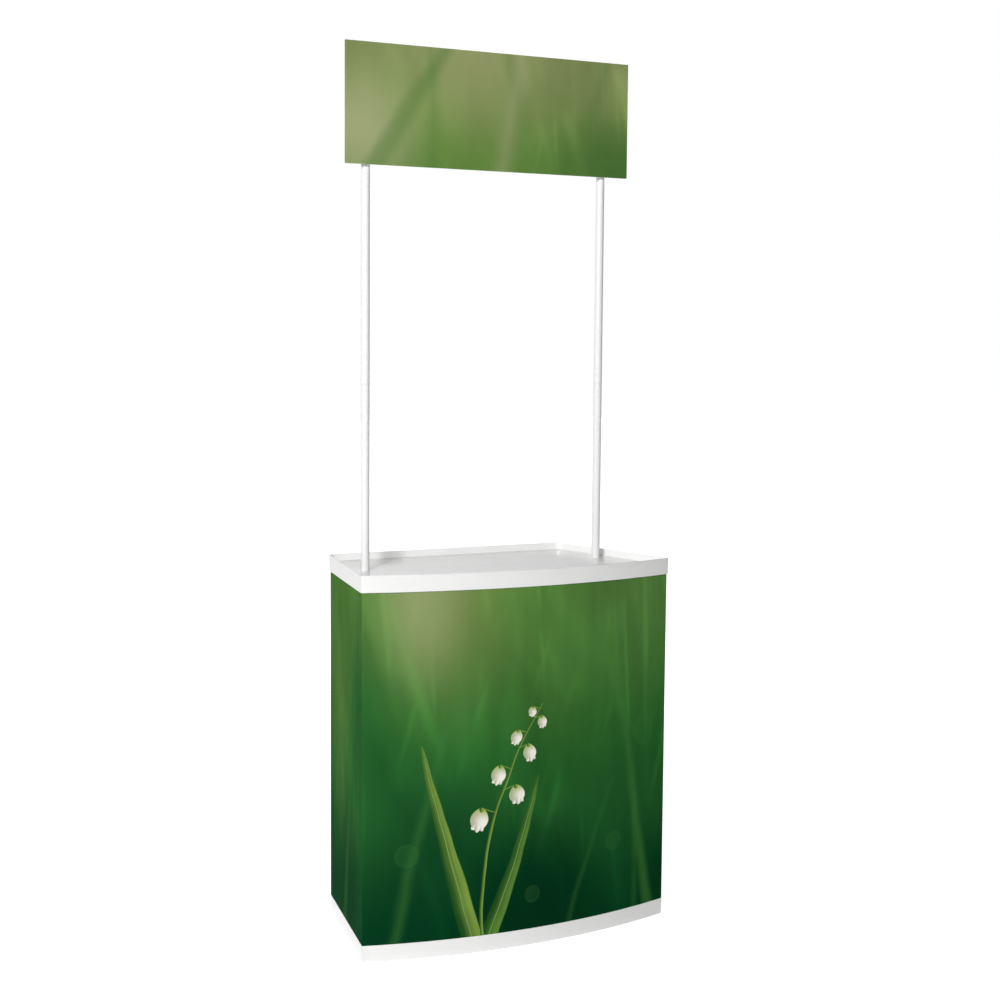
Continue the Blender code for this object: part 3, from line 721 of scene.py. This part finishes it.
def wrap_print_material():
    """A soft meadow with an arching stem of small pale bells."""
    floor_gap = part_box("wrap_graphic")[0].z
    tones = tone(6, 62, 30), tone(44, 104, 44), tone(84, 126, 58)
    wires = {"Foot": floor_gap, "Reach": 0.80, "Streaks": 0.50, "Patches": 1.1, "Blades": 0.50}
    art = PrintBench("wrap_print", tones, **wires)
    deep, leaf, olive, pale = tone(3, 46, 26), tone(62, 118, 56), tone(118, 136, 76), tone(160, 166, 122)
    art.glows(
        ((-0.23, 0.84), (0.26, 0.38), olive, 0.75),
        ((-0.27, 0.82), (0.15, 0.26), pale, 0.46),
        ((0.32, 0.74), (0.22, 0.32), tone(92, 140, 72), 0.40),
        ((-0.04, 0.06), (0.40, 0.30), deep, 0.80),
        ((-0.42, 0.58), (0.16, 0.42), tone(30, 84, 40), 0.55),
        ((-0.66, 0.50), (0.16, 0.34), olive, 0.30),
        ((0.58, 0.10), (0.26, 0.26), deep, 0.50),
        ((0.26, 0.28), (0.20, 0.30), tone(34, 98, 46), 0.45),
        ((-0.26, 0.26), (0.22, 0.34), tone(8, 62, 32), 0.62),
        ((-0.34, 0.10), (0.18, 0.32), deep, 0.50),
        ((-0.60, 0.04), (0.26, 0.30), tone(3, 58, 26), 0.72),
    )
    art.blades(
        leaf,
        ((-0.345, -0.05), 0.66, 0.17, 0.12, 0.011, 0.016, 0.40),
        ((0.365, -0.02), 0.58, -0.24, 0.10, 0.015, 0.012, 0.62),
        ((0.300, -0.02), 0.42, 0.05, -0.16, 0.008, 0.010, 0.30),
        ((0.080, -0.03), 0.40, 0.30, 0.20, 0.007, 0.010, 0.28),
        ((-0.610, -0.02), 0.62, 0.14, 0.12, 0.016, 0.016, 0.34),
        ((0.640, -0.02), 0.55, -0.18, 0.10, 0.016, 0.016, 0.34),
    )
    art.discs(
        leaf,
        0.0025,
        ((0.105, 0.660), 0.032, 0.24),
        ((0.170, 0.600), 0.022, 0.20),
        ((0.325, 0.470), 0.036, 0.24),
        ((0.235, 0.215), 0.024, 0.20),
        ((-0.300, 0.240), 0.028, 0.18),
        ((0.005, 0.120), 0.020, 0.20),
        ((-0.560, 0.520), 0.036, 0.20),
        ((0.580, 0.360), 0.036, 0.20),
    )
    bell_stem(art, Vector((-0.120, floor_gap)))
    return art.film_over()


def header_print_material():
    """The same meadow seen closer and softer."""
    low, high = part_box("header_graphic")
    tones = tone(96, 130, 62), tone(122, 142, 82), tone(124, 136, 86)
    wires = {"Foot": low.z, "Reach": high.z - low.z, "Streaks": 0.45, "Streak_Pitch": 8.0}
    art = PrintBench("header_print", tones, **wires)
    pale, leaf, deep = tone(168, 168, 130), tone(86, 122, 60), tone(66, 104, 50)
    art.glows(
        ((-0.33, low.z + 0.07), (0.20, 0.20), pale, 0.70),
        ((-0.04, high.z - 0.02), (0.26, 0.20), tone(150, 156, 106), 0.65),
        ((0.34, low.z), (0.34, 0.24), deep, 0.75),
    )
    art.blades(
        leaf,
        ((-0.335, low.z - 0.06), 0.46, 0.62, 0.10, 0.030, 0.020, 0.55),
        ((-0.160, low.z - 0.05), 0.42, 0.10, -0.30, 0.018, 0.022, 0.40),
        ((0.130, low.z - 0.06), 0.44, -0.34, 0.20, 0.022, 0.024, 0.42),
        ((0.215, low.z - 0.05), 0.40, 0.24, 0.20, 0.014, 0.018, 0.36),
    )
    art.blades(pale, ((0.02, low.z - 0.05), 0.42, 0.16, 0.10, 0.020, 0.026, 0.30))
    return art.film_over()


# The tray's last tone is painted light, a lighter colour for its inward-facing walls.
tray_white = moulded_material(
    "tray_white", tone(231, 231, 230), 0.13, 0.0026, tray_rib_marks, tone(246, 246, 245)
)
base_white = moulded_material("base_white", tone(245, 245, 244), 0.30, 0.0020, base_rib_marks)
plug_white = moulded_material("plug_white", tone(226, 226, 224), 0.40)
clip_white = moulded_material("clip_white", tone(230, 230, 228), 0.36)
panel_white = scuffed_material(
    "panel_white", 1.47, sheet_skin, {"Colour": tone(232, 232, 230)},
    amount=0.4, scuff=tone(158, 158, 156), dulling=0.1,
)
tube_white = scuffed_material(
    "tube_white", 1.5, powder_coat, {"Colour": tone(233, 233, 233), "Gloss": 0.30},
    amount=0.5, scuff=tone(150, 150, 150), dulling=0.14,
)
screw_steel = steel_material("screw_steel")
foam_white = foam_material("foam_white")
wrap_print = wrap_print_material()
header_print = header_print_material()


# Mesh helpers


def shown(name, data):
    """A new object in the scene."""
    piece = bpy.data.objects.new(name, data)
    bpy.context.scene.collection.objects.link(piece)
    return piece


def mesh_of(bm, name):
    """The mesh of a finished bmesh."""
    mesh = bpy.data.meshes.new(name)
    bm.to_mesh(mesh)
    bm.free()
    return mesh


def applied(piece):
    """The piece with its modifiers made part of its mesh."""
    graph = bpy.context.evaluated_depsgraph_get()
    mesh = bpy.data.meshes.new_from_object(piece.evaluated_get(graph))
    piece.modifiers.clear()
    before = piece.data
    piece.data = mesh
    bpy.data.meshes.remove(before)
    mesh.name = piece.name
    return piece


def dressed(piece, material, edge_round=0.0):
    """Breaks the piece's edges, makes its rounds smooth and its flats flat, and gives it its material."""
    if edge_round:
        bevel = piece.modifiers.new("edges", "BEVEL")
        bevel.width = edge_round
        bevel.segments = small_steps
        bevel.limit_method = "ANGLE"
        bevel.angle_limit = smooth_angle
        applied(piece)
    piece.data.shade_smooth()
    piece.data.set_sharp_from_angle(angle=smooth_angle)
    normals = piece.modifiers.new("normals", "WEIGHTED_NORMAL")
    normals.keep_sharp = True
    applied(piece)
    piece.data.materials.clear()
    piece.data.materials.append(material)
    return piece


def merged_copy(node, name):
    """A copy of a CAD node's mesh with its doubles merged."""
    bm = bmesh.new()
    bm.from_mesh(nodes[node].data)
    bmesh.ops.remove_doubles(bm, verts=bm.verts, dist=merge_distance)
    return shown(name, mesh_of(bm, name))


def settle(piece, body, slot, *stands_for):
    """Puts a finished piece on its body and hides the CAD nodes whose place it takes. The slot is not used.
    """
    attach(piece, body)
    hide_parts(*stands_for)
    return piece


# Geometry trees


def new_tree(name, inputs):
    """Starts a geometry tree with named inputs and a Finish. Returns its bench and what it is given."""
    tree = bpy.data.node_groups.new(name, "GeometryNodeTree")
    for way in ("INPUT", "OUTPUT"):
        tree.interface.new_socket(name="Geometry", in_out=way, socket_type="NodeSocketGeometry")
    for label, kind in {**inputs, "Finish": MATERIAL}.items():
        tree.interface.new_socket(name=label, in_out="INPUT", socket_type=kind)
    bench = Bench(tree)
    return bench, bench.node("NodeGroupInput").outputs


def close_tree(bench, geometry, finish):
    """Ends a tree in Realize Instances and Set Material."""
    whole = bench.first("GeometryNodeRealizeInstances", {"Geometry": geometry})
    painted = bench.first("GeometryNodeSetMaterial", {"Geometry": whole, "Material": finish})
    bench.node("NodeGroupOutput", {0: painted})
    return bench.tree


def rectangle(bench, width, height):
    return bench.first("GeometryNodeCurvePrimitiveQuadrilateral", {"Width": width, "Height": height})


def rounded_off(bench, curve, radius, count):
    wires = {"Curve": curve, "Radius": radius, "Count": count}
    return bench.first("GeometryNodeFilletCurve", wires, mode="POLY")


def set_on(bench, points, piece, **more):
    wires = {"Points": points, "Instance": piece, **more}
    return bench.first("GeometryNodeInstanceOnPoints", wires)


def sheet_places(bench, mesh, along, above):
    """Keeps a place on the sheet as the UV map that the print is drawn in."""
    wires = {"Geometry": mesh, "Name": "print", "Value": bench.xyz(along, above)}
    return bench.first("GeometryNodeStoreNamedAttribute", wires, data_type="FLOAT2", domain="CORNER")


@built
def bent_film():
    """A film that follows a path on edge: metres along the path and above the floor are its UV map."""
    bench, given = new_tree("Bent film", {"Thickness": NUMBER, "Height": NUMBER})
    path = bench.first("GeometryNodeMeshToCurve", {"Mesh": given["Geometry"]})
    run = bench.first("GeometryNodeCurveLength", {"Curve": path})
    capture = bench.node("GeometryNodeCaptureAttribute", {"Geometry": path})
    capture.capture_items.new("FLOAT", "Along")
    bench.feed(capture.inputs["Along"], bench.node("GeometryNodeSplineParameter").outputs["Length"])
    section = rectangle(bench, given["Thickness"], given["Height"])
    wires = {"Curve": capture.outputs["Geometry"], "Profile Curve": section, "Fill Caps": True}
    mesh = bench.first("GeometryNodeCurveToMesh", wires)
    along = bench.times_plus(run, -0.5, capture.outputs["Along"])
    above = bench.parts(bench.first("GeometryNodeInputPosition"))[2]
    return close_tree(bench, sheet_places(bench, mesh, along, above), given["Finish"])


@built
def flat_board():
    """A board with rounded corners that stands in the XZ plane, its front at the start point."""
    measures = ("Width", "Height", "Thickness", "Corner Radius")
    bench, given = new_tree("Flat board", dict.fromkeys(measures, NUMBER))
    outline = rectangle(bench, given["Width"], given["Height"])
    corners = rounded_off(bench, outline, given["Corner Radius"], small_steps + 1)
    face = bench.first("GeometryNodeFillCurve", {"Curve": corners}, mode="NGONS")
    wires = {"Mesh": face, "Offset Scale": given["Thickness"], "Individual": False}
    raised = bench.node("GeometryNodeExtrudeMesh", wires).outputs["Mesh"]
    under = bench.first("GeometryNodeFlipFaces", {"Mesh": face})
    both = bench.node("GeometryNodeJoinGeometry")
    for faces in (raised, under):
        bench.feed(both.inputs[0], faces)
    wires = {"Geometry": both.outputs[0], "Distance": merge_distance}
    solid = bench.first("GeometryNodeMergeByDistance", wires)
    wires = {"Geometry": solid, "Rotation": (quarter_turn, 0.0, 0.0)}
    upright = bench.first("GeometryNodeTransform", wires)
    placed = set_on(bench, given["Geometry"], upright)
    whole = bench.first("GeometryNodeRealizeInstances", {"Geometry": placed})
    where = bench.parts(bench.first("GeometryNodeInputPosition"))
    return close_tree(bench, sheet_places(bench, whole, where[0], where[2]), given["Finish"])


@built
def tubes():
    """Tubes with rounded ends, one at each start point, which is the tube's middle."""
    measures = ("Radius", "Wall", "Length", "Edge Round")
    bench, given = new_tree("Tubes", {**dict.fromkeys(measures, NUMBER), "Sides": COUNT})
    section = rectangle(bench, given["Wall"], given["Length"])
    section = rounded_off(bench, section, given["Edge Round"], small_steps)
    wall_middle = bench.times_plus(given["Wall"], -0.5, given["Radius"])
    wires = {"Resolution": given["Sides"], "Radius": wall_middle}
    ring = bench.first("GeometryNodeCurvePrimitiveCircle", wires)
    tube = bench.first("GeometryNodeCurveToMesh", {"Curve": ring, "Profile Curve": section})
    return close_tree(bench, set_on(bench, given["Geometry"], tube), given["Finish"])


@built
def set_out():
    """Copies of one piece, one at each start point, each turned about Z by a chance share of a turn."""
    bench, given = new_tree("Set out", {"Piece": OBJECT, "Turn": NUMBER, "Seed": COUNT})
    piece = bench.node("GeometryNodeObjectInfo", {"Object": given["Piece"]}).outputs["Geometry"]
    chance = bench.node("FunctionNodeRandomValue", {"Seed": given["Seed"]})
    angles = bench.xyz(z=bench.times(chance.outputs["Value"], given["Turn"]))
    turns = bench.first("FunctionNodeEulerToRotation", {0: angles})
    return close_tree(bench, set_on(bench, given["Geometry"], piece, Rotation=turns), given["Finish"])


def start_mesh(places, joined=False):
    """What a geometry tree starts from: points, which may be joined into a path."""
    places = [tuple(place) for place in places]
    edges = [(i, i + 1) for i in range(len(places) - 1)] if joined else []
    mesh = bpy.data.meshes.new("start")
    mesh.from_pydata(places, edges, [])
    return mesh


def grown(name, tree, start, material, **values):
    """The dressed piece that a geometry tree makes from a start mesh."""
    holder = shown(name, start)
    modifier = holder.modifiers.new(tree.name, "NODES")
    modifier.node_group = tree
    values["finish"] = material
    for item in tree.interface.items_tree:
        key = item.name.replace(" ", "_").lower()
        if item.in_out == "INPUT" and key in values:
            modifier[item.identifier] = values[key]
    return dressed(applied(holder), material)


# Plan of the wrap


def arc_points(centre, radius, start, end, steps):
    turn = (end - start) / steps
    angles = [start + turn * i for i in range(steps + 1)]
    return [centre + radius * Vector((math.cos(angle), math.sin(angle))) for angle in angles]


def wrap_path(offset):
    """The wrap's line at an offset from its outer face, from the end of one return to the other."""
    chord_y = (front_bow - side_depth) / 2
    bow_radius = (front_half_width**2 + front_bow**2) / (2 * front_bow)
    bow_centre = Vector((0, chord_y - front_bow + bow_radius))
    corner = Vector((front_half_width, chord_y))
    side_run = Vector((-side_taper, side_depth)).normalized()
    side_normal = Vector((side_run.y, -side_run.x))
    side_angle = math.atan2(side_normal.y, side_normal.x)

    crease = crease_radius + offset
    start = corner + side_normal * (offset - crease)
    run = (start - bow_centre).dot(side_run)
    reach = bow_radius + offset - crease
    inside = run**2 - (start - bow_centre).length_squared + reach**2
    crease_centre = start + side_run * (-run - math.sqrt(inside))
    tangent = crease_centre - bow_centre
    bow_end = math.atan2(tangent.y, tangent.x)

    back = back_corner_radius + offset
    start = corner + side_normal * (offset - back)
    back_y = chord_y + side_depth
    back_centre = start + side_run * ((back_y + offset - back - start.y) / side_run.y)

    half = arc_points(bow_centre, bow_radius + offset, -quarter_turn, bow_end, bow_steps)[:-1]
    half += arc_points(crease_centre, crease, bow_end, side_angle, crease_steps)
    half += arc_points(back_centre, back, side_angle, quarter_turn, back_corner_steps)
    half.append(half[-1] - Vector((rear_return_width, 0)))
    return [Vector((-point.x, point.y)) for point in reversed(half[1:])] + half


# Pieces


def middle(node):
    low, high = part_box(node)
    return (low + high) / 2


def wrap_film():
    low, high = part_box("wrap_graphic")
    height = (low.z + high.z) / 2
    start = start_mesh([(*point, height) for point in wrap_path(-film_thickness / 2)], joined=True)
    return grown("wrap_film", bent_film, start, wrap_print, thickness=film_thickness, height=high.z - low.z)


def board(name, node, material):
    low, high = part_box(node)
    size = high - low
    start = start_mesh([((low.x + high.x) / 2, high.y, (low.z + high.z) / 2)])
    values = {"width": size.x, "height": size.z, "thickness": size.y, "corner_radius": header_corner_radius}
    return grown(name, flat_board, start, material, **values)


def tube_set(name, members, material):
    """Tubes of one length, in the places of their CAD nodes."""
    low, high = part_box(members[0])
    form = {"radius": tube_radius, "wall": tube_wall, "edge_round": tube_edge_round, "sides": tube_sides}
    start = start_mesh(map(middle, members))
    return grown(name, tubes, start, material, length=high.z - low.z, **form)


def repeated(name, members, material, edge_round=0.0, turn=0.0, shape=None):
    """One dressed copy of the first member, set out in the places of all of them."""
    pattern = merged_copy(members[0], name + "_pattern")
    pattern.data.transform(Matrix.Translation(-middle(members[0])))
    if shape:
        shape(pattern)
    dressed(pattern, material, edge_round)
    start = start_mesh(map(middle, members))
    piece = grown(name, set_out, start, material, piece=pattern, turn=turn, seed=turn_seed)
    bpy.data.objects.remove(pattern)
    return piece


def cross_recess(screw):
    """Cuts a cross-shaped driver recess into the head, which is the screw's lower end."""
    foot = min(vertex.co.z for vertex in screw.data.vertices)
    outline = []
    for number in range(4):
        turn = Matrix.Rotation(number * quarter_turn, 2)
        for x, y in (
            (recess_arm_half_width, -recess_arm_half_width),
            (recess_arm_reach, -recess_arm_half_width),
            (recess_arm_reach, recess_arm_half_width),
        ):
            outline.append(turn @ Vector((x, y)))
    bm = bmesh.new()
    low = [bm.verts.new((p.x, p.y, foot - recess_depth)) for p in outline]
    high = [bm.verts.new((p.x * recess_taper, p.y * recess_taper, foot + recess_depth)) for p in outline]
    bm.faces.new(low)
    bm.faces.new(high)
    for i, corner in enumerate(low):
        bm.faces.new((low[i - 1], corner, high[i], high[i - 1]))
    bmesh.ops.recalc_face_normals(bm, faces=bm.faces)
    tool = shown("recess", mesh_of(bm, "recess"))
    cut = screw.modifiers.new("recess", "BOOLEAN")
    cut.operation = "DIFFERENCE"
    cut.object = tool
    applied(screw)
    bpy.data.objects.remove(tool)


# Mouldings
for node, body, material in (
    ("base_tray", "base", base_white),
    ("countertop_tray", "top", tray_white),
    ("shelf", "base", base_white),
):
    settle(dressed(merged_copy(node, node + "_moulding"), material), body, "moulded_white", node)

# Wrap
settle(dressed(merged_copy("wrap_panel", "wrap_sheet"), panel_white), "wrap", "panel_white", "wrap_panel")
settle(wrap_film(), "wrap", "wrap_print", "wrap_graphic")

# Inner posts
for level in ("lower", "upper"):
    members = [f"{level}_post_{corner}" for corner in CORNERS]
    settle(tube_set(f"{level}_posts", members, tube_white), "base", "tube_white", *members)

# Small pieces that come several times
screw_form = {"turn": 2 * math.pi, "shape": cross_recess}
for stem, places, body, slot, material, form in (
    ("shelf_plug", CORNERS, "base", "plug_white", plug_white, {"edge_round": plug_edge_round}),
    ("pole_socket", SIDES, "top", "plug_white", plug_white, {}),
    ("socket_screw", SCREWS, "top", "screw_steel", screw_steel, screw_form),
    ("header_clip", CLIPS, "header", "clip_white", clip_white, {"edge_round": clip_edge_round}),
    ("clip_pad", CLIPS, "header", "foam_white", foam_white, {}),
):
    members = [f"{stem}_{place}" for place in places]
    settle(repeated(stem + "s", members, material, **form), body, slot, *members)

# Poles with their sleeves and caps
for side in SIDES:
    for level in ("lower", "upper"):
        node = f"{level}_pole_{side}"
        settle(tube_set(f"{node}_tube", [node], tube_white), node, "tube_white", node)
    cap = f"pole_cap_{side}"
    moulding = dressed(merged_copy(cap, cap + "_moulding"), plug_white)
    settle(moulding, f"upper_pole_{side}", "plug_white", cap)
    for slot in nodes[f"pole_ferrule_{side}"].material_slots:
        slot.material = plug_white

# Header
for name, node, slot, material in (
    ("header_sheet", "header_board", "panel_white", panel_white),
    ("header_film", "header_graphic", "header_print", header_print),
):
    settle(board(name, node, material), "header", slot, node)


# Floor, light and camera


def studio_floor():
    """A pale floor that looks white to the camera and keeps a faint shadow near the counter."""
    bm = bmesh.new()
    bmesh.ops.create_grid(bm, x_segments=1, y_segments=1, size=floor_half_size)
    floor = shown("studio_floor", mesh_of(bm, "studio_floor"))
    material = bpy.data.materials.new("studio_floor")
    material.use_nodes = True
    bench = Bench(material.node_tree)
    material.node_tree.nodes.remove(material.node_tree.nodes["Principled BSDF"])
    paint = bench.first("ShaderNodeBsdfDiffuse", {"Color": (0.90, 0.90, 0.90, 1.0)})
    path = bench.node("ShaderNodeLightPath").outputs
    seen = bench.maths("MAXIMUM", path["Is Camera Ray"], path["Is Glossy Ray"])
    seen = bench.maths("MAXIMUM", seen, path["Is Transmission Ray"])
    away = bench.vector("DISTANCE", bench.object_place(), (0.0, 0.0, 0.0))
    lift = bench.times(seen, bench.ramp(away, 1.0, 3.0, 0.78, 1.0))
    glow = bench.first("ShaderNodeEmission", {"Color": white, "Strength": lift})
    both = bench.first("ShaderNodeAddShader", {0: paint, 1: glow})
    bench.feed(material.node_tree.nodes["Material Output"].inputs["Surface"], both)
    floor.data.materials.append(material)


def studio_world():
    """White to the camera, and a soft light: weaker from the right, stronger from above and behind."""
    world = bpy.data.worlds.new("studio")
    bpy.context.scene.world = world
    world.use_nodes = True
    bench = Bench(world.node_tree)
    path = bench.node("ShaderNodeLightPath").outputs
    seen = bench.maths("MAXIMUM", path["Is Camera Ray"], path["Is Transmission Ray"])
    right, behind, above = bench.parts(bench.node("ShaderNodeTexCoord").outputs["Generated"])
    mirrored = bench.times(path["Is Glossy Ray"], bench.ramp(right, 0.25, 0.9, 1.0, 0.12))
    strength = bench.maths("MAXIMUM", seen, mirrored)
    soft = bench.ramp(right, -0.7, 0.4, 0.28, 0.01)
    soft = bench.maths("MAXIMUM", soft, bench.ramp(behind, 0.0, 0.9, 0.0, 0.38))
    soft = bench.times(soft, bench.ramp(above, 0.0, 1.0, 1.0, 1.32, smooth=False))
    background = world.node_tree.nodes["Background"].inputs
    bench.feed(background["Color"], white)
    bench.feed(background["Strength"], bench.maths("MAXIMUM", strength, soft))


def softbox(name, place, size, power):
    lamp = bpy.data.lights.new(name, "AREA")
    lamp.shape = "RECTANGLE"
    lamp.size = lamp.size_y = size
    lamp.energy = power
    holder = shown(name, lamp)
    holder.location = place
    holder.rotation_euler = (Vector(lamp_target) - Vector(place)).to_track_quat("-Z", "Y").to_euler()


def photo_camera():
    """The photograph's viewing angle: a long lens, turned 27 degrees and tipped 5 degrees down."""
    yaw, pitch, roll = map(math.radians, camera_degrees)
    ahead = Vector((math.sin(yaw) * math.cos(pitch), math.cos(yaw) * math.cos(pitch), -math.sin(pitch)))
    across = Vector((math.cos(yaw), -math.sin(yaw), 0.0))
    above = across.cross(ahead)
    right = math.cos(roll) * across + math.sin(roll) * above
    up = math.cos(roll) * above - math.sin(roll) * across
    camera = bpy.data.cameras.new("camera")
    camera.sensor_width = camera_sensor
    camera.lens = camera_lens
    holder = shown("camera", camera)
    facing = Matrix((right, up, -ahead)).transposed().to_4x4()
    holder.matrix_world = Matrix.Translation(camera_place) @ facing
    bpy.context.scene.camera = holder


studio_floor()
studio_world()
softbox("key_softbox", (-2.9, -3.3, 2.7), size=0.8, power=179.0)
softbox("rear_softbox", (1.3, 3.6, 3.0), size=1.6, power=50.0)
photo_camera()
bpy.context.scene.view_settings.view_transform = "Standard"
